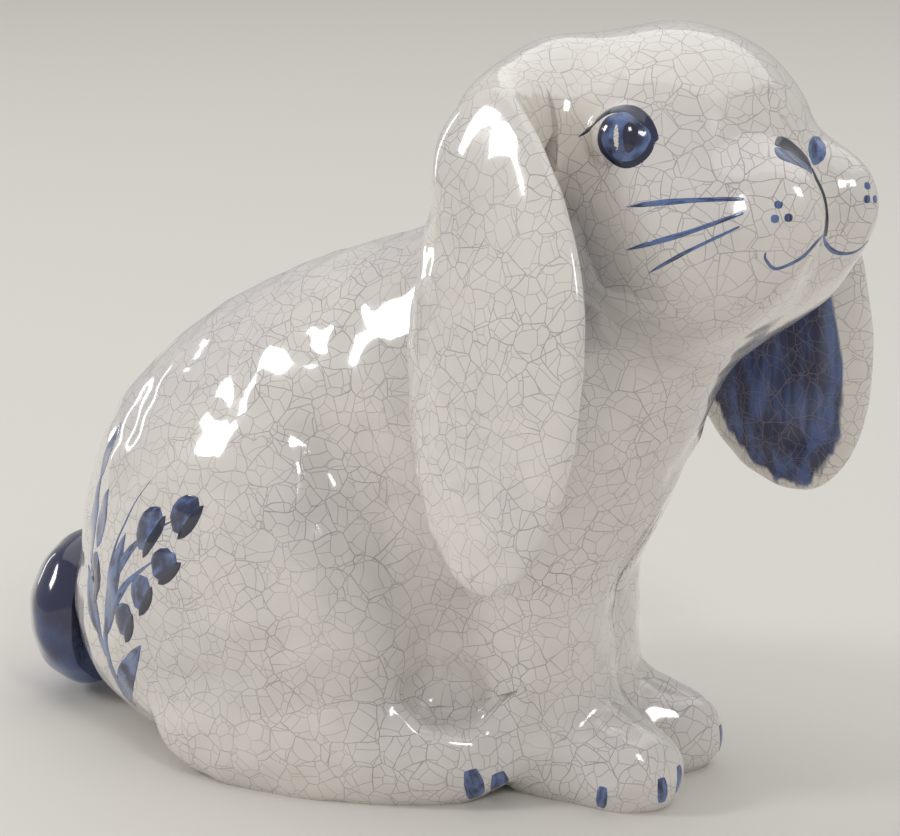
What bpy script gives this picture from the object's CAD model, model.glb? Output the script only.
from collections import namedtuple

import bmesh
import bpy
import numpy as np
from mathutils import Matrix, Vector


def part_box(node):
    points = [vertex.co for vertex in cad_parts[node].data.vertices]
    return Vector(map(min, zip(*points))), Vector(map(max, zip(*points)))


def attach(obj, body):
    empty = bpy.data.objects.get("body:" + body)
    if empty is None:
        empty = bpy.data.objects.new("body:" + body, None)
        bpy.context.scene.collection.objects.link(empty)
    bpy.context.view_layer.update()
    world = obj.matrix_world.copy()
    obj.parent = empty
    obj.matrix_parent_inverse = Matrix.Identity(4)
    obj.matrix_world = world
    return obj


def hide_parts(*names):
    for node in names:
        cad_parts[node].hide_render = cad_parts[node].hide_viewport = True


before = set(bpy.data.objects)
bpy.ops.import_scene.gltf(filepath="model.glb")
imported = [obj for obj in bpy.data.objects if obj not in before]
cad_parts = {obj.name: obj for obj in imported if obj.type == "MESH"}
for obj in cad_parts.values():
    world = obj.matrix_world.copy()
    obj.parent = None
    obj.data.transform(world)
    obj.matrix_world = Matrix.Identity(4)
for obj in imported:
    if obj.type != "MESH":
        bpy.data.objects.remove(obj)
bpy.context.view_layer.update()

bl_info = {
    "name": "Glazed rabbit figure",
    "version": (1, 0, 0),
    "blender": (4, 5, 0),
    "location": "View3D > Sidebar > Rabbit",
    "description": "Builds the glazed castings, the brushwork and the stage of a sitting rabbit figure",
    "category": "Object",
}

# Lengths are in metres. +X is forward, +Y is the rabbit's left, +Z is up and the floor is at zero.

# The clay form: rounded lumps, each blended over its width into the ones before it
Lump = namedtuple("Lump", "place size turn blend")
TRUNK_LUMPS = {
    "rump": Lump((-0.052, 0, 0.066), (0.136, 0.108, 0.124), (0, -20, 0), 0.020),
    "seat": Lump((-0.064, 0, 0.032), (0.116, 0.104, 0.076), (0, 0, 0), 0.020),
    "loin": Lump((-0.016, 0, 0.104), (0.152, 0.088, 0.104), (0, -33, 0), 0.040),
    "chest": Lump((0.037, 0, 0.106), (0.076, 0.076, 0.100), (0, 0, 0), 0.040),
    "belly": Lump((0.010, 0, 0.030), (0.100, 0.068, 0.068), (0, 0, 0), 0.020),
    "neck": Lump((0.052, 0, 0.146), (0.076, 0.072, 0.084), (0, 20, 0), 0.030),
}
LIMB_LUMPS = {
    "haunch": Lump((-0.042, 0.036, 0.058), (0.108, 0.058, 0.116), (8, -15, 0), 0.010),
    "hind foot": Lump((-0.014, 0.042, 0.013), (0.112, 0.038, 0.042), (-10, 0, 0), 0.012),
    "foreleg": Lump((0.042, 0.016, 0.052), (0.034, 0.036, 0.120), (0, -2, 0), 0.012),
    "paw": Lump((0.063, 0.015, 0.010), (0.050, 0.032, 0.034), (12, 0, 0), 0.012),
}
HEAD_LUMPS = {
    "skull": Lump((0.073, 0, 0.192), (0.086, 0.074, 0.074), (0, 0, 0), 0.024),
    "brow": Lump((0.081, 0, 0.195), (0.064, 0.064, 0.062), (0, 0, 0), 0.014),
    "muzzle": Lump((0.1014, 0, 0.1808), (0.043, 0.040, 0.036), (0, 0, 0), 0.014),
    "lip": Lump((0.114, 0.0145, 0.1824), (0.041, 0.023, 0.036), (0, 0, 0), 0.007),
    "cheek": Lump((0.0927, 0.0223, 0.1731), (0.060, 0.044, 0.052), (0, 0, 0), 0.012),
    "jaw": Lump((0.086, 0, 0.158), (0.072, 0.052, 0.044), (0, -30, 0), 0.020),
}
EYE_BULGE = Lump((0.0814, 0.0333, 0.2011), (0.018, 0.018, 0.018), (0, 0, 0), 0.002)
HOLLOWS = {
    "flank": Lump((0.004, 0.0605, 0.088), (0.030, 0.030, 0.104), (0, -24, 0), 0.010),
    "thigh crease": Lump((-0.005, 0.0540, 0.097), (0.013, 0.017, 0.070), (0, -34, 0), 0.005),
    "foot dimple": Lump((0.022, 0.0410, 0.033), (0.024, 0.016, 0.018), (0, 0, 0), 0.006),
}
EAR_ROOT = Lump((0.0466, 0.0364, 0.1988), (0.0240, 0.0560, 0.0265), (0, 0, -35), 0.020)
EAR_BLADE = Lump((0.0654, 0.068, 0.146), (0.0693, 0.016, 0.138), (9, -11, 10), 0.0147)
EAR_HOLLOW_WIDTH = 0.048
EAR_HOLLOW_LENGTH = 0.116
EAR_HOLLOW_DEPTH = 0.004
EAR_RIM_BLEND = 0.0025
EAR_NARROWING = 0.41
EAR_JOIN_BLEND = 0.018
MIDDLE_BLEND = 0.002

# The head turns and tilts about its pivot, in degrees
PIVOT = np.array((0.055, 0, 0.150))
HEAD_TURN_ANGLE = -13.5
HEAD_TILT_ANGLE = -2.5

# Seams between the castings: a point, and the direction across the seam
NECK_SEAM = ((0.052, 0, 0.146), (0.75, 0, 0.66))
FORELEG_SEAM = ((0.040, 0, 0.052), (0.71, 0, -0.71))
SOLE_SEAM = ((-0.020, 0.034, 0.012), (0.30, 0.50, -0.81))
TOE_SEAM = ((0.030, 0.027, 0), (-0.37, 0.93, 0))
EAR_SEAM = ((0.056, 0.041, 0.208), (-0.17, 0.985, 0))
HALF_SLIP = 0.0004
SEAM_OVERRUN = 0.005
BLOCK_SIZE = 1.0

# Core lines that the surfaces are taken from, in the head's frame for the head and the ears
BODY_CORE = ((-0.075, 0, 0.055), (0.040, 0, 0.125))
HEAD_CORE = ((0.062, 0, 0.190), (0.104, 0, 0.180))
FORELEG_CORE = ((0.052, 0.015, 0.012), (0.060, 0.010, 0.068))
HIND_FOOT_CORE = ((-0.038, 0.051, 0.008), (0.024, 0.037, 0.010))
EAR_CORE_REACH = 0.052
EAR_CORE_LIFT = 0.002
TAIL_CORE_REACH = 0.004

LINING_WIDTH = 0.048
LINING_LENGTH = 0.106
LINING_DROP = 0.013
LINING_FRONT = 0.0005
LINING_EDGE = 0.5
LINING_SLOPE = 2
LINING_LEVEL = 0.4
TAIL_BEHIND_SHARE = 0.34

# The glaze stands in low waves, so that reflections break up: wave lengths, directions in degrees and the height
WAVE_LENGTHS = (0.039, 0.027, 0.019)
WAVE_TURNS = ((40, 25, 0), (90, -5, 15), (140, -35, 30))
WAVE_HEIGHT = 0.00036
HEAD_WAVE_SHARE = 0.3
WAVE_FADE = 0.030

# Surfaces: rows and columns of their points, and the steps in which rays find them
BODY_GRID = (240, 320)
HEAD_GRID = (260, 340)
EAR_GRID = (240, 200)
FORELEG_GRID = (160, 200)
HIND_FOOT_GRID = (200, 160)
TAIL_GRID = (120, 160)
STROKE_ROWS = 40
STROKE_COLUMNS = 16
MARCH_STEP = 0.004
MARCH_SHARE = 0.7
COARSE_EVERY = 4
COARSE_STEPS = 110
FINE_STEPS = 24
SETTLE_STEPS = 5
PROBE = 0.0002
CUT_TOLERANCE = 1e-8
POOL_REACH = 0.007

# Glaze textures: scales per metre, and shares of the crackle's cell and line
CLOUD_SCALE = 22.0
TAIL_CLOUD_SCALE = 85.0
TAIL_CLOUD_HEIGHT = 0.045
PAINT_CLOUD_SCALE = 170.0
RIPPLE_SCALE = 90.0
RIPPLE_STRENGTH = 0.12
RIPPLE_HEIGHT = 0.0006
GLASS_IOR = 1.5
COAT_ROUGHNESS = 0.03
LINING_STREAKS = (260.0, 260.0, 34.0)
STROKE_STREAKS = (160.0, 2.4, 1.0)
STROKE_MAP_SHIFT = 0.37
DARK_SHIFT = 0.2
WARP_SHARE = 0.5
LARGE_CELL = 1.5
CELL_JUMP = 9
SMALL_LINE_SHARE = 0.75
LINE_CORE = 0.4
LINE_EDGE = 1.5
CRACKLE_ON_WHITE = 0.70
CRACKLE_ON_BLUE = 0.25
CRACKLE_ON_PAINT = 0.3
TAIL_CRACKLE = (0.01, 0.012, 0.03)

# Stage: softboxes by the degrees around and above the target, the distance and the size, and the round floor
Softbox = namedtuple("Softbox", "name power turn rise away width height")
SOFTBOXES = (
    Softbox("left_softbox", "key_power", -58, 33, 2.2, 0.42, 0.56),
    Softbox("right_softbox", "fill_power", 50, 40, 2.4, 0.46, 0.46),
    Softbox("top_softbox", "top_power", 180, 72, 2.1, 3.0, 3.0),
    Softbox("side_softbox", "side_power", -108, 10, 2.2, 0.16, 0.90),
)
SKY_COLOUR = (1.0, 0.985, 0.96)
SENSOR_WIDTH = 36.0
FLOOR_FIRST_RADIUS = 0.02
FLOOR_LAST_RADIUS = 9.0
FLOOR_RINGS = 24
FLOOR_SPOKES = 96
FLOOR_ROUGHNESS = 0.75

SIDES = ((1, "left"), (-1, "right"))

X_AXIS, Y_AXIS, Z_AXIS = np.eye(3)
TAIL_LOW, TAIL_HIGH = (np.array(corner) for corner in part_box("tail"))
TAIL_SEAT = ((TAIL_HIGH[0] + HALF_SLIP, 0, 0), (-1, 0, 0))
FLOOR_SEAM = ((0, 0, 0), (0, 0, -1))
MIDDLE_SEAM = ((0, 0, 0), (0, 1, 0))


def unit(vectors):
    """Vectors scaled to length one."""
    vectors = np.asarray(vectors, float)
    return vectors / np.linalg.norm(vectors, axis=-1, keepdims=True)


def turning(turn, pitch, roll):
    """Matrix that rolls about X, then pitches about Y, then turns about Z, from degrees."""
    (ct, cp, cr), (st, sp, sr) = np.cos(np.radians((turn, pitch, roll))), np.sin(np.radians((turn, pitch, roll)))
    about_z = np.array(((ct, -st, 0), (st, ct, 0), (0, 0, 1)))
    about_y = np.array(((cp, 0, sp), (0, 1, 0), (-sp, 0, cp)))
    about_x = np.array(((1, 0, 0), (0, cr, -sr), (0, sr, cr)))
    return about_z @ about_y @ about_x


HEAD_TURN = turning(HEAD_TURN_ANGLE, 0, HEAD_TILT_ANGLE)
EAR_TURN = turning(*EAR_BLADE.turn)


def to_head(points):
    """World points in the frame of the turned head."""
    return (points - PIVOT) @ HEAD_TURN + PIVOT


def from_head(points):
    """Points of the head's frame back in the world."""
    return (np.asarray(points, float) - PIVOT) @ HEAD_TURN.T + PIVOT


def folded(points):
    """Points with both sides folded onto the left one: y becomes sqrt(y squared + blend squared)."""
    side = np.sqrt(points[..., 1]**2 + MIDDLE_BLEND**2)
    return np.stack((points[..., 0], side, points[..., 2]), axis=-1)


def lump_distance(points, lump):
    """Near-distance to an ellipsoid: k(k - 1) / s, with k and s the lengths of p/half and p/half squared."""
    half = np.array(lump.size) / 2
    local = (points - np.array(lump.place)) @ turning(*lump.turn)
    reach = np.linalg.norm(local / half, axis=-1)
    slope = np.linalg.norm(local / half**2, axis=-1)
    return reach * (reach - 1) / np.maximum(slope, np.finfo(float).tiny)


def blend_min(first, second, width):
    """The lesser of two distances, less (width - gap) squared / (4 width) where the gap is under the width."""
    overlap = np.maximum(width - np.abs(first - second), 0)
    return np.minimum(first, second) - overlap**2 / (4 * width)


def blend_max(first, second, width):
    """The greater of two distances, rounded like blend_min."""
    return -blend_min(-first, -second, width)


def waves(points):
    """Height of the glaze's waves: products of sines along three slanted directions, lower past the neck."""
    total = 0
    fade = np.clip(past(points, NECK_SEAM) / WAVE_FADE, 0, 1)
    for number, (length, turn) in enumerate(zip(WAVE_LENGTHS, WAVE_TURNS)):
        turned = points @ turning(*turn) * (2 * np.pi / length)
        total = total + np.sin(turned[..., 0]) * np.sin(turned[..., 1] + number) * np.cos(turned[..., 2])
    return WAVE_HEIGHT * (1 - (1 - HEAD_WAVE_SHARE) * fade) * total


def bare_distance(points):
    """Distance to the glazed figure without its ears and tail."""
    both = folded(points)
    rump, *others = TRUNK_LUMPS.values()
    distance = lump_distance(points, rump)
    for lump in others:
        distance = blend_min(distance, lump_distance(points, lump), lump.blend)
    for lump in LIMB_LUMPS.values():
        distance = blend_min(distance, lump_distance(both, lump), lump.blend)
    for lump in HOLLOWS.values():
        distance = blend_max(distance, -lump_distance(both, lump), lump.blend)
    return with_head(distance, points) - waves(points)


def with_head(distance, points):
    """A distance with the head's lumps and the bulging eyes blended in."""
    head_points = to_head(points)
    head_both = folded(head_points)
    for name, lump in HEAD_LUMPS.items():
        paired = name in ("lip", "cheek")
        distance = blend_min(distance, lump_distance(head_both if paired else head_points, lump), lump.blend)
    return blend_min(distance, lump_distance(head_both, EYE_BULGE), EYE_BULGE.blend)


def ear_distances(points):
    """Distances to the ears' roots and to the ears, whose blades are hollowed on their inner side, and the width
    over which the ears blend into the head, which grows towards their tops."""
    both = folded(to_head(points))
    root = lump_distance(both, EAR_ROOT)
    local = (both - np.array(EAR_BLADE.place)) @ EAR_TURN
    upward = np.clip(local[..., 2:] / (EAR_BLADE.size[2] / 2), 0, 1)
    narrow = np.concatenate((local[..., :1] / (1 - EAR_NARROWING * upward**2), local[..., 1:]), axis=-1)
    blade = lump_distance(narrow, Lump((0, 0, 0), EAR_BLADE.size, (0, 0, 0), 0))
    hollow_size = (EAR_HOLLOW_WIDTH, EAR_BLADE.size[1], EAR_HOLLOW_LENGTH)
    hollow = lump_distance(narrow, Lump((0, EAR_HOLLOW_DEPTH - EAR_BLADE.size[1], 0), hollow_size, (0, 0, 0), 0))
    blade = blend_max(blade, -hollow, EAR_RIM_BLEND)
    width = EAR_JOIN_BLEND * upward[..., 0]**2 + PROBE
    return root, blend_min(blade, root, EAR_BLADE.blend) - waves(points), width


def with_ears(distance, points):
    """A distance with the ears' roots and the ears blended in."""
    root, ear, width = ear_distances(points)
    return blend_min(blend_min(distance, root, EAR_ROOT.blend), ear, width)


def figure_distance(points):
    """Distance to the whole glazed figure without its tail."""
    return with_ears(bare_distance(points), points)


def ear_only_distance(points):
    """Distance to the ears, the head and the neck, without the trunk."""
    return with_ears(with_head(lump_distance(points, TRUNK_LUMPS["neck"]), points) - waves(points), points)


def tail_distance(points):
    """Distance to the tail, an ellipsoid as wide and as high as the solid that it dresses."""
    size = TAIL_HIGH - TAIL_LOW
    length = 2 * size[0] / (1 + TAIL_BEHIND_SHARE)
    centre = (TAIL_LOW[0] + length / 2, 0, (TAIL_LOW[2] + TAIL_HIGH[2]) / 2)
    return lump_distance(points, Lump(centre, (length, size[1], size[2]), (0, 0, 0), 0)) - waves(points)


def past(points, seam):
    """How far points lie past a seam's plane."""
    return (points - np.array(seam[0])) @ unit(seam[1])


def shifted(seam, shift):
    """A seam moved along its direction."""
    return tuple(np.array(seam[0]) + unit(seam[1]) * shift), seam[1]


def turned_round(seam):
    """A seam that faces the other way."""
    return seam[0], tuple(-np.array(seam[1]))


def on_side(seam, side):
    """A seam of the left side, or its mirror on the right when side is below zero."""
    flip = np.array((1, side, 1))
    return tuple(np.array(seam[0]) * flip), tuple(np.array(seam[1]) * flip)


def ear_seam(side):
    """The seam of one ear in the world."""
    place, direction = on_side(EAR_SEAM, side)
    return tuple(from_head(place)), tuple(HEAD_TURN @ np.array(direction))


def past_foot(points, side):
    """How far points lie inside both seams of one hind foot."""
    return np.minimum(past(points, on_side(SOLE_SEAM, side)), past(points, on_side(TOE_SEAM, side)))


def past_legs(points):
    """How far points lie inside the forelegs' seam, up to both toe seams."""
    toes = np.maximum(past(points, on_side(TOE_SEAM, 1)), past(points, on_side(TOE_SEAM, -1)))
    return np.minimum(past(points, FORELEG_SEAM), -toes - HALF_SLIP)


def trimmed(distance, *cuts):
    """A distance with parts cut away, the cuts rounded one overrun past the seams."""
    for cut in cuts:
        distance = blend_max(distance, cut - SEAM_OVERRUN, SEAM_OVERRUN)
    return distance


def core_rays(core, across, size, width, depth):
    """Starts and directions of rays from a core line. Over t from 0 to pi the start runs from the first end to
    the last by (1 - cos t) / 2, and the direction is -cos t along it plus sin t times an ellipse around it."""
    first, last = np.array(core, float)
    rows, columns = size
    along = unit(last - first)
    across = unit(across - along * (across @ along))
    normal = np.cross(along, across)
    t = np.linspace(0, np.pi, rows)[:, None, None]
    turn = np.linspace(0, 2 * np.pi, columns, endpoint=False)[None, :, None]
    start = first + (last - first) * (1 - np.cos(t)) / 2 + 0 * turn
    around = np.cos(turn) * across * width + np.sin(turn) * normal * depth
    return start, unit(np.sin(t) * around - np.cos(t) * along * (width + depth) / 2)


def lengthened(length, distance, start, direction):
    """Ray lengths after one step: each grows or shrinks by a share of the distance left, up to a longest step."""
    left = distance(start + direction * length[..., None])
    return np.maximum(length - np.clip(MARCH_SHARE * left, -MARCH_STEP, MARCH_STEP), PROBE)


def surface_grid(distance, start, direction):
    """Points where rays leave a surface, found on every fourth ray first and from there on all of them."""
    rows, columns = start.shape[:2]
    few = start[::COARSE_EVERY, ::COARSE_EVERY], direction[::COARSE_EVERY, ::COARSE_EVERY]
    length = np.full(few[0].shape[:2], PROBE)
    for _ in range(COARSE_STEPS):
        length = lengthened(length, distance, *few)
    length = np.repeat(np.repeat(length, COARSE_EVERY, axis=0), COARSE_EVERY, axis=1)[:rows, :columns]
    for _ in range(FINE_STEPS):
        length = lengthened(length, distance, start, direction)
    return start + direction * length[..., None]


def closed_faces(rows, columns):
    """Faces of a grid that is closed around its columns, with a pole at each end."""
    row = np.arange(1, rows - 2)[:, None] * columns
    column = np.arange(columns)[None, :]
    after = (column + 1) % columns
    quads = np.stack((row + column, row + after, row + columns + after, row + columns + column), axis=-1)
    quads = quads.reshape(-1, 4) - columns + 1
    last = (rows - 2) * columns + 1
    column, after = column[0], after[0]
    first_fan = np.stack((np.zeros_like(column), after + 1, column + 1), axis=-1)
    last_row = (rows - 3) * columns + 1
    last_fan = np.stack((np.full_like(column, last), last_row + column, last_row + after), axis=-1)
    return quads.tolist() + first_fan.tolist() + last_fan.tolist()


def closed_points(grid):
    """Points of a grid as a list, with the first and the last row each drawn into one pole."""
    inner = grid[1:-1].reshape(-1, 3)
    return np.concatenate((grid[:1, 0], inner, grid[-1:, 0]))


def cast(distance, core, across, size, width=1, depth=1):
    """Points and faces of the surface around a core line, with a size in rows and columns."""
    grid = surface_grid(distance, *core_rays(core, across, size, width, depth))
    return closed_points(grid), closed_faces(*size)


def gradient(distance, points):
    """Outward direction of a distance, from its change over a short probe along each axis."""
    return unit(np.stack([distance(points + PROBE * axis) - distance(points - PROBE * axis)
                          for axis in np.eye(3)], axis=-1))


def read(items, key, kind=float, width=1):
    """One value or one row of values per item, as an array."""
    values = np.empty(len(items) * width, kind)
    items.foreach_get(key, values)
    return values if width == 1 else values.reshape(-1, width)


def mark(mesh, name, values):
    """Stores one value per point on a mesh."""
    mesh.attributes.new(name, "FLOAT", "POINT").data.foreach_set("value", values.astype(np.float32))


def new_object(name, mesh, material, nodes=()):
    """Links a mesh as a piece that rides with the figure, with its material, slot and the nodes it stands for."""
    piece = bpy.data.objects.new(name, mesh)
    bpy.context.scene.collection.objects.link(piece)
    mesh.materials.append(material)
    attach(piece, "root")
    if nodes:
        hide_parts(*nodes)
    return piece


def cut_along(form, planes):
    """Cuts a closed form along planes one after the other, keeps what lies behind each and closes the cut flat."""
    for place, direction in planes:
        geometry = form.verts[:] + form.edges[:] + form.faces[:]
        cut = bmesh.ops.bisect_plane(form, geom=geometry, dist=CUT_TOLERANCE, plane_co=Vector(place),
                                     plane_no=Vector(direction), clear_outer=True)["geom_cut"]
        rim = [item for item in cut if isinstance(item, bmesh.types.BMEdge) and item.is_boundary]
        for cap in bmesh.ops.holes_fill(form, edges=rim, sides=0)["faces"]:
            cap.smooth = False
            if cap.loops[0].link_loop_radial_next.vert == cap.loops[0].vert:
                cap.normal_flip()


def block_mesh(planes):
    """A block larger than the figure, cut along planes."""
    form = bmesh.new()
    bmesh.ops.create_cube(form, size=BLOCK_SIZE)
    cut_along(form, planes)
    for face in form.faces:
        face.smooth = False
    mesh = bpy.data.meshes.new("block")
    form.to_mesh(mesh)
    form.free()
    return mesh


def taken_away(mesh, blocks):
    """A closed mesh with blocks taken away from it."""
    whole = bpy.data.objects.new("whole", mesh)
    tools = [bpy.data.objects.new("tool", block) for block in blocks]
    for item in [whole] + tools:
        bpy.context.scene.collection.objects.link(item)
    for tool in tools:
        difference = whole.modifiers.new("difference", "BOOLEAN")
        difference.operation, difference.solver, difference.object = "DIFFERENCE", "EXACT", tool
    left = bpy.data.meshes.new_from_object(whole.evaluated_get(bpy.context.evaluated_depsgraph_get()))
    for item in [whole] + tools:
        data = item.data
        bpy.data.objects.remove(item)
        bpy.data.meshes.remove(data)
    left.materials.clear()
    return left


def part_casting(name, casting, planes, distance, material, node, blocks=()):
    """Cuts a casting's surface along its seams, takes blocks away, and gives the skin the outward direction of the
    whole figure, so that neighbours meet without a line. Where the skin lies in a hollow, its pool value rises."""
    points, faces = casting
    mesh = bpy.data.meshes.new(name)
    mesh.from_pydata(points.tolist(), [], faces)
    mesh.shade_smooth()
    form = bmesh.new()
    form.from_mesh(mesh)
    cut_along(form, planes)
    form.to_mesh(mesh)
    form.free()
    if not mesh.polygons:
        raise RuntimeError(f"nothing of {name} lies inside its seams")
    if blocks:
        mesh = taken_away(mesh, blocks)
        mesh.name = name
    places = read(mesh.vertices, "co", width=3)
    outward = gradient(distance, places)
    mark(mesh, "pool", np.clip(1 - distance(places + outward * POOL_REACH) / POOL_REACH, 0, 1))
    face_size = read(mesh.polygons, "loop_total", int)
    smooth = np.repeat(read(mesh.polygons, "use_smooth", bool), face_size)
    flat = np.repeat(read(mesh.polygons, "normal", width=3), face_size, axis=0)
    corners = np.where(smooth[:, None], outward[read(mesh.loops, "vertex_index", int)], flat)
    mesh.normals_split_custom_set(corners)
    return new_object(name, mesh, material, [node])


def add_node(tree, kind, settings=None, **inputs):
    """Adds a shader node, with settings on the node and values or links on its inputs."""
    node = tree.nodes.new("ShaderNode" + kind)
    for key, value in (settings or {}).items():
        setattr(node, key, value)
    for key, value in inputs.items():
        numbered = key[0] == "i" and key[1:].isdigit()
        target = node.inputs[int(key[1:]) if numbered else key.replace("_", " ")]
        if isinstance(value, bpy.types.NodeSocket):
            tree.links.new(value, target)
        else:
            target.default_value = value
    return node


def opaque(colour):
    """A colour with its full cover."""
    return tuple(colour) + (1,)


def mix_colours(tree, share, first, second):
    """Mixes two colours by a share."""
    return add_node(tree, "Mix", {"data_type": "RGBA"}, i0=share, i6=first, i7=second).outputs[2]


def ramp(tree, value, low, high, start=0.0, end=1.0):
    """Maps a value smoothly from one range onto another."""
    node = add_node(tree, "MapRange", {"interpolation_type": "SMOOTHSTEP"}, Value=value, From_Min=low, From_Max=high,
                    To_Min=start, To_Max=end)
    return node.outputs[0]


def multiply(tree, first, second):
    """Product of two values."""
    return add_node(tree, "Math", {"operation": "MULTIPLY"}, i0=first, i1=second).outputs[0]


def vector_math(tree, operation, first, second):
    """Node that works on two vectors."""
    return add_node(tree, "VectorMath", {"operation": operation}, i0=first, i1=second)


def cell_lines(tree, place, cell, line):
    """Lines of one width where cells meet: the way to the wall halfway between the two nearest seeds, over the sine
    of the angle between that wall and the surface."""
    normal = add_node(tree, "TexCoord").outputs["Normal"]
    nearest, second = [add_node(tree, "TexVoronoi", {"feature": feature}, Vector=place, Scale=1 / cell)
                       for feature in ("F1", "F2")]
    apart = vector_math(tree, "SUBTRACT", second.outputs["Position"], nearest.outputs["Position"]).outputs[0]
    across = add_node(tree, "VectorMath", {"operation": "NORMALIZE"}, i0=apart).outputs[0]
    seed_way = vector_math(tree, "SUBTRACT", nearest.outputs["Position"], place).outputs[0]
    other_way = vector_math(tree, "SUBTRACT", second.outputs["Position"], place).outputs[0]
    both_ways = vector_math(tree, "ADD", seed_way, other_way).outputs[0]
    twice = vector_math(tree, "DOT_PRODUCT", both_ways, across).outputs["Value"]
    lean = vector_math(tree, "CROSS_PRODUCT", across, normal).outputs[0]
    sine = add_node(tree, "VectorMath", {"operation": "LENGTH"}, i0=lean).outputs["Value"]
    way = add_node(tree, "Math", {"operation": "DIVIDE"}, i0=twice, i1=sine).outputs[0]
    return ramp(tree, way, LINE_CORE * line, LINE_EDGE * line, 1.0, 0.0), nearest.outputs["Color"]


def crackle(tree, place, glaze):
    """Darkness of the crackle: lines of large cells, and fainter ones of small cells that start afresh in each."""
    warp = add_node(tree, "TexNoise", Vector=place, Scale=0.6 / glaze.crackle_cell, Detail=1.0)
    warped = add_node(tree, "VectorMath", {"operation": "MULTIPLY_ADD"}, i0=warp.outputs["Color"],
                      i1=(glaze.crackle_cell * WARP_SHARE,) * 3, i2=place).outputs[0]
    large, cell = cell_lines(tree, warped, glaze.crackle_cell * LARGE_CELL, glaze.crackle_line)
    afresh = add_node(tree, "VectorMath", {"operation": "MULTIPLY_ADD"}, i0=cell,
                      i1=(glaze.crackle_cell * CELL_JUMP,) * 3, i2=warped).outputs[0]
    small = cell_lines(tree, afresh, glaze.crackle_cell, glaze.crackle_line)[0]
    fading = add_node(tree, "TexNoise", Vector=place, Scale=0.25 / glaze.crackle_cell, Detail=2.0)
    strength = ramp(tree, fading.outputs["Fac"], 0.30, 0.65, 0.55, 1.0)
    faint = multiply(tree, small, SMALL_LINE_SHARE)
    lines = add_node(tree, "Math", {"operation": "MAXIMUM"}, i0=large, i1=faint).outputs[0]
    return multiply(tree, lines, strength)


def new_material(name):
    """A new node material, its node tree and its shader."""
    material = bpy.data.materials.new(name)
    material.use_nodes = True
    tree = material.node_tree
    tree.nodes.clear()
    shader = add_node(tree, "BsdfPrincipled")
    output = add_node(tree, "OutputMaterial")
    tree.links.new(shader.outputs[0], output.inputs[0])
    return material, tree, shader


def finish_glaze(tree, shader, place, colour, glaze):
    """Links a colour and the glaze's fine ripple, and sets its gloss."""
    ripple = add_node(tree, "TexNoise", Vector=place, Scale=RIPPLE_SCALE, Detail=2.0)
    bump = add_node(tree, "Bump", Strength=RIPPLE_STRENGTH, Distance=RIPPLE_HEIGHT, Height=ripple.outputs["Fac"])
    tree.links.new(colour, shader.inputs["Base Color"])
    tree.links.new(bump.outputs[0], shader.inputs["Normal"])
    shader.inputs["Roughness"].default_value = glaze.roughness
    shader.inputs["IOR"].default_value = GLASS_IOR
    shader.inputs["Coat Weight"].default_value = 1.0
    shader.inputs["Coat Roughness"].default_value = COAT_ROUGHNESS


def white_glaze(name, glaze, lined=False):
    """Crackled white glaze, creamier where it pools in hollows, with blue strokes where an ear is lined."""
    material, tree, shader = new_material(name)
    place = add_node(tree, "TexCoord").outputs["Object"]
    cloud = add_node(tree, "TexNoise", Vector=place, Scale=CLOUD_SCALE, Detail=3.0)
    colour = mix_colours(tree, ramp(tree, cloud.outputs["Fac"], 0.35, 0.7), opaque(glaze.white),
                         opaque(glaze.violet))
    pool = add_node(tree, "Attribute", {"attribute_name": "pool"}).outputs["Fac"]
    colour = mix_colours(tree, ramp(tree, pool, 0.35, 1.0, 0.0, 0.8), colour, opaque(glaze.cream))
    if lined:
        colour = lining(tree, place, colour, glaze)
    lines = multiply(tree, crackle(tree, place, glaze), CRACKLE_ON_WHITE)
    colour = mix_colours(tree, lines, colour, opaque(glaze.crackle))
    finish_glaze(tree, shader, place, colour, glaze)
    return material


def lining(tree, place, colour, glaze):
    """Lays streaky blue strokes over a colour where the lining attribute is high."""
    mask = add_node(tree, "Attribute", {"attribute_name": "lining"}).outputs["Fac"]
    stretched = add_node(tree, "Mapping", Vector=place, Scale=LINING_STREAKS).outputs[0]
    streak = add_node(tree, "TexNoise", Vector=stretched, Scale=1.0, Detail=3.0).outputs["Fac"]
    wobble = add_node(tree, "Math", {"operation": "MULTIPLY_ADD"}, i0=streak, i1=0.5, i2=mask).outputs[0]
    blue = mix_colours(tree, ramp(tree, streak, 0.40, 0.68), opaque(glaze.navy), opaque(glaze.blue))
    return mix_colours(tree, ramp(tree, wobble, 0.28, 0.40), colour, blue)


def blue_glaze(name, glaze):
    """Mottled blue glaze, nearly black above and lighter towards the floor."""
    material, tree, shader = new_material(name)
    place = add_node(tree, "TexCoord").outputs["Object"]
    height = add_node(tree, "SeparateXYZ", Vector=place).outputs["Z"]
    cloud = add_node(tree, "TexNoise", Vector=place, Scale=TAIL_CLOUD_SCALE, Detail=4.0).outputs["Fac"]
    level = add_node(tree, "Math", {"operation": "MULTIPLY_ADD"}, i0=cloud, i1=TAIL_CLOUD_HEIGHT,
                     i2=height).outputs[0]
    colour = mix_colours(tree, ramp(tree, level, 0.026, 0.056), opaque(glaze.blue), opaque(glaze.navy))
    lines = multiply(tree, crackle(tree, place, glaze), CRACKLE_ON_BLUE)
    colour = mix_colours(tree, lines, colour, opaque(TAIL_CRACKLE))
    finish_glaze(tree, shader, place, colour, glaze)
    return material


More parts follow.
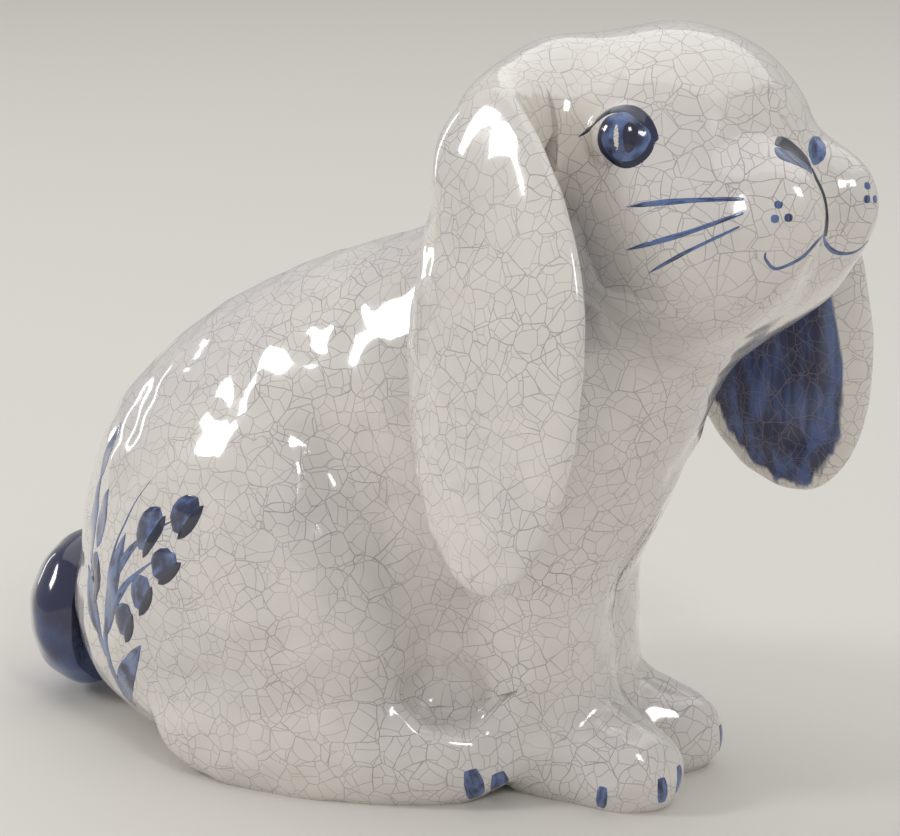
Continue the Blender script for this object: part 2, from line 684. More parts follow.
def brush_paint(name, glaze, dark, light, dark_share):
    """Blue brush paint: streaks of two blues along each stroke, darker by a share."""
    material, tree, shader = new_material(name)
    coordinates = add_node(tree, "TexCoord")
    place = coordinates.outputs["Object"]
    stretched = add_node(tree, "Mapping", Vector=coordinates.outputs["UV"], Scale=STROKE_STREAKS).outputs[0]
    streak = add_node(tree, "TexNoise", Vector=stretched, Scale=1.0, Detail=3.0).outputs["Fac"]
    cloud = add_node(tree, "TexNoise", Vector=place, Scale=PAINT_CLOUD_SCALE, Detail=2.0).outputs["Fac"]
    mixed = add_node(tree, "Math", {"operation": "MULTIPLY_ADD"}, i0=streak, i1=0.6, i2=multiply(tree, cloud, 0.4))
    share = ramp(tree, mixed.outputs[0], 0.36 + DARK_SHIFT * dark_share, 0.56 + DARK_SHIFT * dark_share)
    colour = mix_colours(tree, share, opaque(dark), opaque(light))
    lines = multiply(tree, crackle(tree, place, glaze), CRACKLE_ON_PAINT)
    colour = mix_colours(tree, lines, colour, opaque(dark))
    finish_glaze(tree, shader, place, colour, glaze)
    return material


def curve_through(points, count):
    """Smooth line through a few points: on each stretch a cubic whose slopes are half the chord of its neighbours."""
    points = np.array(points, float)
    t = np.linspace(0, len(points) - 1, count)
    index = np.minimum(t.astype(int), len(points) - 2)
    share = (t - index)[:, None]
    start, end = points[index], points[index + 1]
    before, beyond = points[np.maximum(index - 1, 0)], points[np.minimum(index + 2, len(points) - 1)]
    first_slope, last_slope = (end - before) / 2, (beyond - start) / 2
    rise = share**2 * (3 - 2 * share)
    return (start + (end - start) * rise + first_slope * share * (1 - share)**2
            + last_slope * share**2 * (share - 1))


def onto_surface(points):
    """Points moved onto the figure's surface by steps of their distance along its outward direction."""
    for _ in range(SETTLE_STEPS):
        points = points - gradient(figure_distance, points) * figure_distance(points)[..., None]
    return points


def stroke(points, widths, lift):
    """A brush stroke: an ellipse, as wide as the brush and a lift high, carried along a curve on the surface, with
    its lower half sunk in the glaze. Its ends close to points where the first and the last width are zero."""
    line = onto_surface(curve_through(points, STROKE_ROWS))
    outward = gradient(figure_distance, line)
    sideways = unit(np.cross(outward, np.gradient(line, axis=0)))
    share = np.linspace(0, 1, STROKE_ROWS)
    width = np.interp(share, np.linspace(0, 1, len(widths)), widths) / 2
    turn = np.linspace(0, 2 * np.pi, STROKE_COLUMNS, endpoint=False)
    across = np.cos(turn)[None, :, None] * width[:, None, None] * sideways[:, None, :]
    grid = onto_surface(line[:, None, :] + across)
    height = lift * np.sin(turn)[None, :, None]
    grid = grid + gradient(figure_distance, grid) * height
    grid[0], grid[-1] = line[0], line[-1]
    along = np.concatenate(((0,), np.cumsum(np.linalg.norm(np.diff(line, axis=0), axis=-1))))
    map_u = along[:, None] + 0 * turn[None, :]
    map_v = 0.5 + 0.5 * np.cos(turn)[None, :] + 0 * share[:, None]
    return grid, np.stack((map_u, map_v), axis=-1)


def painted_piece(name, strokes, material):
    """One piece of several brush strokes, with the length and the width of each as its map."""
    points, faces, maps = [], [], []
    pattern = np.array([face + face[-1:] * (4 - len(face)) for face in closed_faces(STROKE_ROWS, STROKE_COLUMNS)])
    count = (STROKE_ROWS - 2) * STROKE_COLUMNS + 2
    for number, (grid, spread) in enumerate(strokes):
        points.append(closed_points(grid))
        faces.append(pattern + number * count)
        inner = spread[1:-1].reshape(-1, 2)
        maps.append(np.concatenate((spread[:1, 0], inner, spread[-1:, 0])) + (STROKE_MAP_SHIFT * number, 0))
    points, faces, maps = np.concatenate(points), np.concatenate(faces), np.concatenate(maps)
    mesh = bpy.data.meshes.new(name)
    mesh.from_pydata(points.tolist(), [], [list(dict.fromkeys(face)) for face in faces.tolist()])
    layer = mesh.uv_layers.new(name="stroke")
    layer.data.foreach_set("uv", maps[read(mesh.loops, "vertex_index", int)].astype(np.float32).ravel())
    mesh.shade_smooth()
    return new_object(name, mesh, material)


# Brushwork on the head, in the head's frame: right side as painted, and the left side's own marks
EYE = ((0.0835, -0.0374, 0.2089), (0.0862, -0.0407, 0.2026), (0.0859, -0.0398, 0.1957))
EYE_SIZE = 0.0180
PUPIL = ((0.0865, -0.0381, 0.2068), (0.0882, -0.0389, 0.2027), (0.0875, -0.0395, 0.1983))
PUPIL_WIDTHS = (0, 0.0042, 0.0060, 0.0058, 0.0036, 0)
LID = ((0.0701, -0.0387, 0.2008), (0.0729, -0.0380, 0.2030), (0.0766, -0.0387, 0.2064), (0.0791, -0.0377, 0.2087),
       (0.0821, -0.0363, 0.2097), (0.0855, -0.0349, 0.2092), (0.0888, -0.0343, 0.2070), (0.0914, -0.0345, 0.2040),
       (0.0936, -0.0351, 0.2016))
LID_WIDTHS = (0, 0.0014, 0.0028, 0.0036, 0.0042, 0.0042, 0.0040, 0.0034, 0.0018)
RIGHT_NOSTRIL = ((0.1184, -0.0144, 0.2008), (0.1215, -0.0135, 0.1990), (0.1232, -0.0100, 0.1972),
                 (0.1228, -0.0050, 0.1952), (0.1223, -0.0004, 0.1936))
RIGHT_NOSTRIL_WIDTHS = (0, 0.0080, 0.0108, 0.0104, 0.0070, 0)
NOSTRIL_SHADE = ((0.1179, -0.0134, 0.2014), (0.1183, -0.0090, 0.2010), (0.1195, -0.0053, 0.1991),
                 (0.1207, -0.0018, 0.1967), (0.1220, -0.0002, 0.1942))
NOSTRIL_SHADE_WIDTHS = (0, 0.0058, 0.0060, 0.0048, 0.0032, 0)
LEFT_NOSTRIL = ((0.1215, 0.0013, 0.1949), (0.1201, 0.0046, 0.1981), (0.1177, 0.0098, 0.2016))
LEFT_NOSTRIL_WIDTHS = (0, 0.0034, 0.0058, 0.0064, 0.0048, 0)
PHILTRUM = ((0.1220, 0, 0.1945), (0.1260, 0, 0.1870), (0.1272, 0, 0.1755))
PHILTRUM_WIDTHS = (0.0008, 0.0016, 0.0030, 0.0036, 0.0028)
RIGHT_MOUTH = ((0.1272, 0, 0.1775), (0.1320, -0.0080, 0.1782), (0.1335, -0.0141, 0.1770), (0.1306, -0.0178, 0.1722),
               (0.1264, -0.0230, 0.1695), (0.1249, -0.0264, 0.1722), (0.1250, -0.0267, 0.1743))
LEFT_MOUTH = ((0.1271, -0.0005, 0.1761), (0.1268, 0.0013, 0.1738), (0.1272, 0.0050, 0.1712),
              (0.1286, 0.0086, 0.1702), (0.1304, 0.0125, 0.1708), (0.1322, 0.0160, 0.1735))
MOUTH_WIDTHS = (0.0011, 0.0014, 0.0014, 0.0011, 0.0009, 0.0004)
RIGHT_DOTS = ((0.1264, -0.0238, 0.1871), (0.1262, -0.0249, 0.1833), (0.1290, -0.0226, 0.1837))
LEFT_DOTS = ((0.1325, 0.0122, 0.1893), (0.1333, 0.0112, 0.1858), (0.1342, 0.0142, 0.1856))
DOT_SIZE = 0.0023
WHISKERS = (((0.1187, -0.0289, 0.1882), (0.1052, -0.0387, 0.1871), (0.0896, -0.0428, 0.1841)),
            ((0.1196, -0.0301, 0.1847), (0.1072, -0.0410, 0.1785), (0.0912, -0.0442, 0.1725)),
            ((0.1195, -0.0316, 0.1812), (0.1089, -0.0407, 0.1740), (0.0983, -0.0432, 0.1670)))
WHISKER_WIDTHS = (0.0008, 0.0013, 0.0014, 0.0018, 0.0014, 0)
WHISKER_SHARES = (1.0, 0.9, 0.65)

EYE_ACROSS = np.array((0.90, 0.43, 0))
RING_SHARE = 0.84
RING_TURN = (-0.6, 2 * np.pi - 2.6)
RING_POINTS = 13
ROUND_POINTS = 15
RING_WIDTHS = (0.0012, 0.0022, 0.0024, 0.0020, 0.0024, 0.0018, 0.0010)

# Strokes painted over others stand higher, by these shares of the paint's lift
SECOND_COAT = 1.3
SHADE_COAT = 1.5
THIRD_COAT = 1.6
FOURTH_COAT = 1.9

# Brushwork on the body: claws as short strokes, and a sprig of stems, leaves and buds on the right haunch
PAW_CLAWS = (((0.0670, -0.0296, 0.0010), (0.0680, -0.0307, 0.0050), (0.0687, -0.0313, 0.0090)),
             ((0.0850, -0.0243, 0.0030), (0.0849, -0.0250, 0.0075), (0.0844, -0.0255, 0.0122)),
             ((0.0879, -0.0182, 0.0050), (0.0878, -0.0182, 0.0095), (0.0873, -0.0182, 0.0140)))
HIND_CLAWS = (((0.0318, -0.0405, 0.0010), (0.0322, -0.0430, 0.0065), (0.0318, -0.0456, 0.0132)),
              ((0.0360, -0.0335, 0.0010), (0.0369, -0.0360, 0.0055), (0.0378, -0.0395, 0.0114)))
PAW_CLAW_WIDTHS = (0.0020, 0.0034, 0.0034, 0.0022)
HIND_CLAW_WIDTHS = (0.0036, 0.0058, 0.0060, 0.0036)
SPRIG_STEMS = (((-0.0860, -0.0405, 0.012), (-0.0905, -0.0480, 0.033), (-0.0890, -0.0500, 0.050),
                (-0.0840, -0.0520, 0.069), (-0.0690, -0.0545, 0.093)),
               ((-0.0905, -0.0470, 0.030), (-0.1000, -0.0420, 0.055), (-0.0985, -0.0390, 0.080),
                (-0.0935, -0.0330, 0.103)),
               ((-0.0890, -0.0490, 0.042), (-0.0790, -0.0560, 0.058), (-0.0640, -0.0605, 0.070)),
               ((-0.0880, -0.0500, 0.052), (-0.0760, -0.0560, 0.070), (-0.0580, -0.0600, 0.083)))
STEM_WIDTHS = (0.0040, 0.0036, 0.0028, 0.0018, 0.0009, 0)
SPRIG_BUDS = (((-0.0587, -0.0599, 0.0790), (-0.0503, -0.0613, 0.0910)),
              ((-0.0721, -0.0569, 0.0708), (-0.0644, -0.0581, 0.0852)),
              ((-0.0658, -0.0604, 0.0643), (-0.0568, -0.0621, 0.0727)),
              ((-0.0745, -0.0573, 0.0521), (-0.0685, -0.0597, 0.0629)),
              ((-0.0824, -0.0538, 0.0411), (-0.0776, -0.0562, 0.0519)),
              ((-0.0988, -0.0428, 0.0477), (-0.0958, -0.0452, 0.0633)))
BUD_WIDTHS = (0, 0.0076, 0.0102, 0.0098, 0.0066, 0)
BUD_SHADE_SHIFT = (0.0024, 0, -0.0022)
BUD_SHADE_WIDTHS = (0, 0.0030, 0.0042, 0.0040, 0.0026, 0)
SPRIG_LEAVES = (((-0.0870, -0.0425, 0.014), (-0.0830, -0.0500, 0.026), (-0.0730, -0.0570, 0.040)),
                ((-0.0900, -0.0470, 0.036), (-0.0860, -0.0520, 0.056), (-0.0790, -0.0540, 0.074)),
                ((-0.1010, -0.0410, 0.058), (-0.1000, -0.0385, 0.072), (-0.0965, -0.0370, 0.086)),
                ((-0.0975, -0.0370, 0.084), (-0.0950, -0.0355, 0.093), (-0.0920, -0.0320, 0.101)),
                ((-0.0930, -0.0450, 0.036), (-0.0990, -0.0420, 0.046), (-0.1030, -0.0380, 0.056)),
                ((-0.0950, -0.0430, 0.064), (-0.0930, -0.0440, 0.074), (-0.0890, -0.0440, 0.084)))
LEAF_WIDTHS = (0, 0.0052, 0.0082, 0.0074, 0.0042, 0)


class GlazeSettings(bpy.types.PropertyGroup):
    """Colours and texture of the glazes and of the brush paint."""
    white: bpy.props.FloatVectorProperty(
        name="White glaze", description="Main colour of the glaze", subtype="COLOR", default=(0.76, 0.725, 0.68))
    violet: bpy.props.FloatVectorProperty(
        name="Cool glaze", description="Colour of the glaze's cooler clouds", subtype="COLOR",
        default=(0.69, 0.655, 0.64))
    cream: bpy.props.FloatVectorProperty(
        name="Pooled glaze", description="Colour of the glaze in hollows", subtype="COLOR",
        default=(0.66, 0.57, 0.43))
    crackle: bpy.props.FloatVectorProperty(
        name="Crackle", description="Colour of the crackle's lines", subtype="COLOR", default=(0.20, 0.17, 0.20))
    navy: bpy.props.FloatVectorProperty(
        name="Dark blue", description="Darkest blue of the paint", subtype="COLOR", default=(0.010, 0.016, 0.065))
    ink: bpy.props.FloatVectorProperty(
        name="Ink blue", description="Blue of the thick paint on eyelids and shades", subtype="COLOR",
        default=(0.004, 0.007, 0.030))
    blue: bpy.props.FloatVectorProperty(
        name="Middle blue", description="Blue of thinner paint", subtype="COLOR", default=(0.055, 0.105, 0.285))
    light_blue: bpy.props.FloatVectorProperty(
        name="Light blue", description="Lightest blue of the paint", subtype="COLOR", default=(0.105, 0.175, 0.385))
    crackle_cell: bpy.props.FloatProperty(
        name="Crackle cell", description="Width of a crackle cell", subtype="DISTANCE", unit="LENGTH",
        default=0.0056)
    crackle_line: bpy.props.FloatProperty(
        name="Crackle line", description="Width of a crackle line", subtype="DISTANCE", unit="LENGTH",
        default=0.00026)
    roughness: bpy.props.FloatProperty(
        name="Roughness", description="Roughness of the glaze", subtype="FACTOR", default=0.14)
    paint_lift: bpy.props.FloatProperty(
        name="Paint lift", description="Height of the paint over the glaze", subtype="DISTANCE", unit="LENGTH",
        default=0.00012)


class StageSettings(bpy.types.PropertyGroup):
    """Camera, floor and lights."""
    focal_length: bpy.props.FloatProperty(
        name="Focal length", description="Camera lens in millimetres", default=111.8)
    camera_turn: bpy.props.FloatProperty(
        name="Camera turn", description="Degrees around from the right side towards the front", default=25.0)
    camera_rise: bpy.props.FloatProperty(
        name="Camera rise", description="Degrees above the floor", default=15.0)
    camera_distance: bpy.props.FloatProperty(
        name="Camera distance", description="From the point looked at", unit="LENGTH", default=0.85)
    look_at: bpy.props.FloatVectorProperty(
        name="Look at", description="Point in the middle of the picture", unit="LENGTH",
        default=(0.005, -0.002, 0.107))
    floor_colour: bpy.props.FloatVectorProperty(
        name="Floor", description="Colour of the floor", subtype="COLOR", default=(0.74, 0.715, 0.675))
    key_power: bpy.props.FloatProperty(
        name="Left light", description="Power of the softbox on the left, in watts", default=12.0)
    fill_power: bpy.props.FloatProperty(
        name="Right light", description="Power of the softbox on the right, in watts", default=8.0)
    top_power: bpy.props.FloatProperty(
        name="Top light", description="Power of the softbox overhead, in watts", default=20.0)
    side_power: bpy.props.FloatProperty(
        name="Side light", description="Power of the tall softbox at the left end, in watts", default=2.0)
    sky_strength: bpy.props.FloatProperty(
        name="Surrounding light", description="Strength of the even light from all around", default=0.47)


def foot_block(side, shift):
    """Planes of the block that holds one hind foot, its seams shifted inwards."""
    return [turned_round(shifted(on_side(seam, side), shift)) for seam in (SOLE_SEAM, TOE_SEAM)]


def leg_block(shift):
    """Planes of the block that holds the forelegs, their seam shifted inwards."""
    toes = [shifted(on_side(TOE_SEAM, side), -HALF_SLIP) for side in (1, -1)]
    return [turned_round(shifted(FORELEG_SEAM, shift))] + toes


class RABBIT_OT_body(bpy.types.Operator):
    """Builds the trunk with its haunches and the slip at the neck"""
    bl_idname = "rabbit.body"
    bl_label = "Body"

    def execute(self, context):
        material = white_glaze("body_glaze", context.scene.rabbit_glaze)
        casting = cast(lambda p: trimmed(bare_distance(p), past(p, NECK_SEAM), past_foot(p, 1), past_foot(p, -1),
                                         past_legs(p), past(p, FLOOR_SEAM)), BODY_CORE, Y_AXIS, BODY_GRID)
        below_neck = shifted(NECK_SEAM, -HALF_SLIP)
        before_tail = shifted(TAIL_SEAT, -HALF_SLIP)
        blocks = [block_mesh(foot_block(side, -HALF_SLIP)) for side in (1, -1)] + [block_mesh(leg_block(-HALF_SLIP))]
        part_casting("glazed_body", casting, [below_neck, before_tail, FLOOR_SEAM], figure_distance, material,
                     "body_shell", blocks)
        part_casting("glazed_neck_joint", casting, [turned_round(below_neck), shifted(NECK_SEAM, HALF_SLIP)],
                     figure_distance, material, "neck_slip_joint")
        return {"FINISHED"}


class RABBIT_OT_head(bpy.types.Operator):
    """Builds the head without its ears"""
    bl_idname = "rabbit.head"
    bl_label = "Head"

    def execute(self, context):
        material = white_glaze("head_glaze", context.scene.rabbit_glaze)
        casting = cast(lambda p: trimmed(figure_distance(p), -past(p, NECK_SEAM), past(p, ear_seam(1)),
                                         past(p, ear_seam(-1))), from_head(HEAD_CORE), HEAD_TURN @ Y_AXIS, HEAD_GRID)
        above_neck = turned_round(shifted(NECK_SEAM, HALF_SLIP))
        at_ears = [shifted(ear_seam(side), -HALF_SLIP) for side in (1, -1)]
        part_casting("glazed_head", casting, [above_neck] + at_ears, figure_distance, material,
                     "head_shell")
        return {"FINISHED"}


class RABBIT_OT_ears(bpy.types.Operator):
    """Builds both ears with their blue linings, and the slip they are stuck on with"""
    bl_idname = "rabbit.ears"
    bl_label = "Ears"

    def execute(self, context):
        material = white_glaze("ear_glaze", context.scene.rabbit_glaze, lined=True)
        for side, name in SIDES:
            flip = np.array((1, side, 1))
            middle = np.array(EAR_BLADE.place) + EAR_TURN[:, 1] * EAR_CORE_LIFT
            reach = EAR_TURN[:, 2] * EAR_CORE_REACH
            core = from_head(np.array((middle - reach, middle + reach)) * flip)
            width, depth, _ = EAR_BLADE.size
            seam = ear_seam(side)
            casting = cast(lambda p: trimmed(ear_only_distance(p), -past(p, seam)), core,
                           HEAD_TURN @ (EAR_TURN[:, 0] * flip), EAR_GRID, width, depth)
            far = shifted(seam, HALF_SLIP)
            ear = part_casting(f"glazed_{name}_ear", casting, [turned_round(far)], figure_distance, material,
                               f"{name}_ear")
            joint = part_casting(f"glazed_{name}_ear_joint", casting, [far, turned_round(shifted(seam, -HALF_SLIP))],
                                 figure_distance, material, f"{name}_ear_slip_joint")
            for piece in (ear, joint):
                self.line(piece.data)
        return {"FINISHED"}

    def line(self, mesh):
        """Marks an ear's lining on the blade's inner face: above zero in an ellipse, and falling below zero at and
        past its edge."""
        places = read(mesh.vertices, "co", width=3)
        local = (folded(to_head(places)) - np.array(EAR_BLADE.place)) @ EAR_TURN
        across = local[:, 0] / (LINING_WIDTH / 2)
        along = (local[:, 2] + LINING_DROP) / (LINING_LENGTH / 2)
        inside = 1 - np.hypot(across, along)
        lined = np.where(local[:, 1] < LINING_FRONT, np.clip(LINING_EDGE + LINING_SLOPE * inside, 0, 1), 0)
        mark(mesh, "lining", lined - LINING_LEVEL)


class RABBIT_OT_forelegs(bpy.types.Operator):
    """Builds both forelegs with their paws, and the slip behind and between them"""
    bl_idname = "rabbit.forelegs"
    bl_label = "Forelegs"

    def execute(self, context):
        material = white_glaze("foreleg_glaze", context.scene.rabbit_glaze)
        near, far = [shifted(FORELEG_SEAM, shift) for shift in (-HALF_SLIP, HALF_SLIP)]
        for side, name in SIDES:
            middle = on_side(MIDDLE_SEAM, side)
            toe = on_side(TOE_SEAM, side)
            casting = cast(lambda p: trimmed(bare_distance(p), -past(p, FORELEG_SEAM), past(p, toe), -past(p, middle),
                                             past(p, FLOOR_SEAM)),
                           np.array(FORELEG_CORE) * (1, side, 1), X_AXIS, FORELEG_GRID)
            sides = [shifted(toe, -HALF_SLIP), turned_round(shifted(middle, HALF_SLIP)), FLOOR_SEAM]
            part_casting(f"glazed_{name}_foreleg", casting, [turned_round(far)] + sides, figure_distance, material,
                         f"{name}_foreleg")
            part_casting(f"glazed_{name}_foreleg_joint", casting, [far, turned_round(near)] + sides, figure_distance,
                         material, f"{name}_foreleg_slip_joint")
        between = [shifted(middle, HALF_SLIP), turned_round(shifted(middle, -HALF_SLIP))]
        part_casting("glazed_foreleg_pair_joint", casting, [turned_round(near)] + between + [FLOOR_SEAM],
                     figure_distance, material, "foreleg_pair_slip_joint")
        return {"FINISHED"}


class RABBIT_OT_hind_feet(bpy.types.Operator):
    """Builds both hind feet and the slip over them"""
    bl_idname = "rabbit.hind_feet"
    bl_label = "Hind feet"

    def execute(self, context):
        material = white_glaze("hind_foot_glaze", context.scene.rabbit_glaze)
        for side, name in SIDES:
            casting = cast(lambda p: trimmed(bare_distance(p), -past_foot(p, side), past(p, FLOOR_SEAM)),
                           np.array(HIND_FOOT_CORE) * (1, side, 1), Y_AXIS * side, HIND_FOOT_GRID)
            part_casting(f"glazed_{name}_hind_foot", casting, foot_block(side, HALF_SLIP) + [FLOOR_SEAM],
                         figure_distance, material, f"{name}_hind_foot")
            part_casting(f"glazed_{name}_hind_foot_joint", casting, foot_block(side, -HALF_SLIP) + [FLOOR_SEAM],
                         figure_distance, material, f"{name}_hind_foot_slip_joint",
                         [block_mesh(foot_block(side, HALF_SLIP))])
        return {"FINISHED"}


class RABBIT_OT_tail(bpy.types.Operator):
    """Builds the blue tail and the slip it is stuck on with"""
    bl_idname = "rabbit.tail"
    bl_label = "Tail"

    def execute(self, context):
        material = blue_glaze("tail_glaze", context.scene.rabbit_glaze)
        middle = (TAIL_LOW + TAIL_HIGH) / 2
        core = middle + np.outer((-1, 1), X_AXIS) * TAIL_CORE_REACH
        casting = cast(tail_distance, core, Y_AXIS, TAIL_GRID)
        far = shifted(TAIL_SEAT, HALF_SLIP)
        part_casting("glazed_tail", casting, [turned_round(far)], tail_distance, material, "tail")
        part_casting("glazed_tail_joint", casting, [far, turned_round(shifted(TAIL_SEAT, -HALF_SLIP))], tail_distance,
                     material, "tail_slip_joint")
        return {"FINISHED"}


class RABBIT_OT_face(bpy.types.Operator):
    """Paints the eyes, nose, mouth and whiskers"""
    bl_idname = "rabbit.face"
    bl_label = "Painted face"

    def execute(self, context):
        glaze = context.scene.rabbit_glaze
        dark = brush_paint("dark_brush_paint", glaze, glaze.ink, glaze.navy, dark_share=0.3)
        iris = brush_paint("iris_paint", glaze, glaze.navy, glaze.light_blue, dark_share=0.15)
        thin = brush_paint("thin_brush_paint", glaze, glaze.navy, glaze.light_blue, dark_share=0.0)
        lift = glaze.paint_lift
        round_shares = np.sqrt(1 - np.linspace(-1, 1, ROUND_POINTS)**2)
        turn = np.linspace(*RING_TURN, RING_POINTS)[:, None]
        ring = np.array(EYE[1]) + EYE_SIZE * RING_SHARE / 2 * (np.cos(turn) * EYE_ACROSS - np.sin(turn) * Z_AXIS)
        eyes, lids, mouth, dots, whiskers = [], [], [], [], []
        for side in (-1, 1):
            def at(points):
                return from_head(np.array(points) * (1, -side, 1))

            eyes.append(stroke(at(EYE), round_shares * EYE_SIZE, lift))
            lids.append(stroke(at(ring), RING_WIDTHS, lift * SECOND_COAT))
            lids.append(stroke(at(PUPIL), PUPIL_WIDTHS, lift * SECOND_COAT))
            lids.append(stroke(at(LID), LID_WIDTHS, lift * THIRD_COAT))
            for line, share in zip(WHISKERS, WHISKER_SHARES):
                whiskers.append(stroke(at(line), np.array(WHISKER_WIDTHS) * share, lift))
        nose = [stroke(from_head(RIGHT_NOSTRIL), RIGHT_NOSTRIL_WIDTHS, lift),
                stroke(from_head(LEFT_NOSTRIL), LEFT_NOSTRIL_WIDTHS, lift)]
        lids.append(stroke(from_head(NOSTRIL_SHADE), NOSTRIL_SHADE_WIDTHS, lift * SHADE_COAT))
        lids.append(stroke(from_head(PHILTRUM), PHILTRUM_WIDTHS, lift))
        for line in (RIGHT_MOUTH, LEFT_MOUTH):
            mouth.append(stroke(from_head(line), MOUTH_WIDTHS, lift))
        for dot in RIGHT_DOTS + LEFT_DOTS:
            ends = np.array(dot) + np.outer((-0.5, 0.5), (0, 0, DOT_SIZE))
            dots.append(stroke(from_head(ends), round_shares * DOT_SIZE, lift))
        painted_piece("painted_eyes", eyes, iris)
        painted_piece("painted_dark_strokes", lids, dark)
        painted_piece("painted_nose", nose, thin)
        painted_piece("painted_mouth", mouth, thin)
        painted_piece("painted_whisker_dots", dots, thin)
        painted_piece("painted_whiskers", whiskers, thin)
        return {"FINISHED"}


class RABBIT_OT_claws(bpy.types.Operator):
    """Paints the claws on all four feet"""
    bl_idname = "rabbit.claws"
    bl_label = "Painted claws"

    def execute(self, context):
        glaze = context.scene.rabbit_glaze
        paint = brush_paint("claw_paint", glaze, glaze.navy, glaze.light_blue, dark_share=0.0)
        strokes = []
        for side in (-1, 1):
            for claws, widths in ((PAW_CLAWS, PAW_CLAW_WIDTHS), (HIND_CLAWS, HIND_CLAW_WIDTHS)):
                strokes += [stroke(np.array(claw) * (1, -side, 1), widths, glaze.paint_lift) for claw in claws]
        painted_piece("painted_claws", strokes, paint)
        return {"FINISHED"}


class RABBIT_OT_sprig(bpy.types.Operator):
    """Paints a sprig of stems, leaves and buds on each haunch"""
    bl_idname = "rabbit.sprig"
    bl_label = "Painted sprig"

    def execute(self, context):
        glaze = context.scene.rabbit_glaze
        lift = glaze.paint_lift
        thin = brush_paint("sprig_paint", glaze, glaze.navy, glaze.light_blue, dark_share=0.1)
        middle = brush_paint("bud_paint", glaze, glaze.navy, glaze.light_blue, dark_share=0.3)
        dark = brush_paint("bud_shade_paint", glaze, glaze.ink, glaze.navy, dark_share=0.5)
        stems, leaves, buds, shades = [], [], [], []
        for side in (-1, 1):
            flip = np.array((1, -side, 1))
            stems += [stroke(np.array(line) * flip, STEM_WIDTHS, lift) for line in SPRIG_STEMS]
            leaves += [stroke(np.array(line) * flip, LEAF_WIDTHS, lift * SECOND_COAT) for line in SPRIG_LEAVES]
            buds += [stroke(np.array(line) * flip, BUD_WIDTHS, lift * THIRD_COAT) for line in SPRIG_BUDS]
            shaded = np.array(SPRIG_BUDS) + BUD_SHADE_SHIFT
            shades += [stroke(line * flip, BUD_SHADE_WIDTHS, lift * FOURTH_COAT) for line in shaded]
        painted_piece("painted_stems", stems, thin)
        painted_piece("painted_leaves", leaves, thin)
        painted_piece("painted_buds", buds, middle)
        painted_piece("painted_bud_shades", shades, dark)
        return {"FINISHED"}


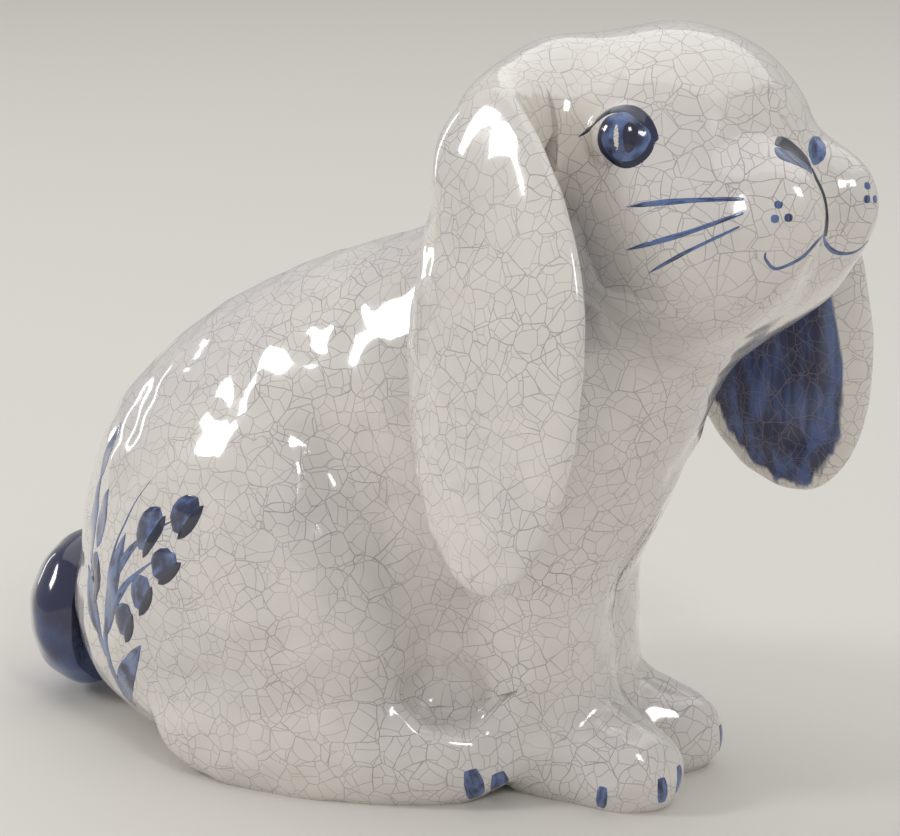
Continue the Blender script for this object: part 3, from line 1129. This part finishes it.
class RABBIT_OT_stage(bpy.types.Operator):
    """Sets up the floor, the lights, the surroundings and the camera"""
    bl_idname = "rabbit.stage"
    bl_label = "Stage"

    def execute(self, context):
        stage = context.scene.rabbit_stage
        self.floor(stage)
        target = np.array(stage.look_at)
        for box in SOFTBOXES:
            light = bpy.data.lights.new(box.name, "AREA")
            light.shape, light.size, light.size_y = "RECTANGLE", box.width, box.height
            light.energy = getattr(stage, box.power)
            self.aim(bpy.data.objects.new(box.name, light), box.turn, box.rise, box.away, target)
        world = bpy.data.worlds.new("even_surroundings")
        context.scene.world = world
        world.use_nodes = True
        back = world.node_tree.nodes["Background"]
        back.inputs["Color"].default_value = opaque(SKY_COLOUR)
        back.inputs["Strength"].default_value = stage.sky_strength
        camera = bpy.data.cameras.new("camera")
        camera.lens, camera.sensor_fit, camera.sensor_width = stage.focal_length, "HORIZONTAL", SENSOR_WIDTH
        viewer = bpy.data.objects.new("camera", camera)
        self.aim(viewer, stage.camera_turn, stage.camera_rise, stage.camera_distance, target)
        context.scene.camera = viewer
        context.scene.view_settings.view_transform = "Standard"
        return {"FINISHED"}

    def floor(self, stage):
        """A flat round floor: rings of points at growing radii."""
        radii = np.geomspace(FLOOR_FIRST_RADIUS, FLOOR_LAST_RADIUS, FLOOR_RINGS)
        turn = np.linspace(0, 2 * np.pi, FLOOR_SPOKES, endpoint=False)
        ring = np.stack((np.cos(turn), np.sin(turn), 0 * turn), axis=-1)
        points = np.concatenate((np.zeros((1, 3)), (radii[:, None, None] * ring).reshape(-1, 3)))
        column = np.arange(FLOOR_SPOKES)
        after = (column + 1) % FLOOR_SPOKES
        fan = np.stack((0 * column, column + 1, after + 1), axis=-1).tolist()
        row = np.arange(FLOOR_RINGS - 1)[:, None] * FLOOR_SPOKES + 1
        beyond = row + FLOOR_SPOKES
        quads = np.stack((row + column, beyond + column, beyond + after, row + after), axis=-1).reshape(-1, 4)
        mesh = bpy.data.meshes.new("stage_floor")
        mesh.from_pydata(points.tolist(), [], fan + quads.tolist())
        floor = bpy.data.objects.new("stage_floor", mesh)
        bpy.context.scene.collection.objects.link(floor)
        material, _, shader = new_material("floor_paper")
        shader.inputs["Base Color"].default_value = opaque(stage.floor_colour)
        shader.inputs["Roughness"].default_value = FLOOR_ROUGHNESS
        mesh.materials.append(material)

    def aim(self, item, turn, rise, away, target):
        """Places a lamp or camera on a sphere around the target and turns it to look there."""
        turn, rise = np.radians((turn, rise))
        outward = np.array((np.sin(turn) * np.cos(rise), -np.cos(turn) * np.cos(rise), np.sin(rise)))
        item.location = target + outward * away
        item.rotation_euler = Vector(-outward).to_track_quat("-Z", "Y").to_euler()
        bpy.context.scene.collection.objects.link(item)


OPERATORS = (RABBIT_OT_body, RABBIT_OT_head, RABBIT_OT_ears, RABBIT_OT_forelegs, RABBIT_OT_hind_feet, RABBIT_OT_tail,
             RABBIT_OT_face, RABBIT_OT_claws, RABBIT_OT_sprig, RABBIT_OT_stage)


class RABBIT_PT_panel(bpy.types.Panel):
    """Lists the figure's pieces and its stage"""
    bl_idname = "RABBIT_PT_panel"
    bl_label = "Glazed rabbit"
    bl_space_type = "VIEW_3D"
    bl_region_type = "UI"
    bl_category = "Rabbit"

    def draw(self, context):
        for operator in OPERATORS:
            self.layout.operator(operator.bl_idname)


CLASSES = (GlazeSettings, StageSettings) + OPERATORS + (RABBIT_PT_panel,)


def register():
    """Registers the classes and hangs the settings on the scene."""
    for item in CLASSES:
        bpy.utils.register_class(item)
    bpy.types.Scene.rabbit_glaze = bpy.props.PointerProperty(type=GlazeSettings)
    bpy.types.Scene.rabbit_stage = bpy.props.PointerProperty(type=StageSettings)


def unregister():
    """Takes the settings and the classes away again."""
    del bpy.types.Scene.rabbit_stage
    del bpy.types.Scene.rabbit_glaze
    for item in reversed(CLASSES):
        bpy.utils.unregister_class(item)


def main():
    """Builds every piece in order."""
    register()
    for operator in OPERATORS:
        group, name = operator.bl_idname.split(".")
        getattr(getattr(bpy.ops, group), name)()


if __name__ == "__main__":
    main()
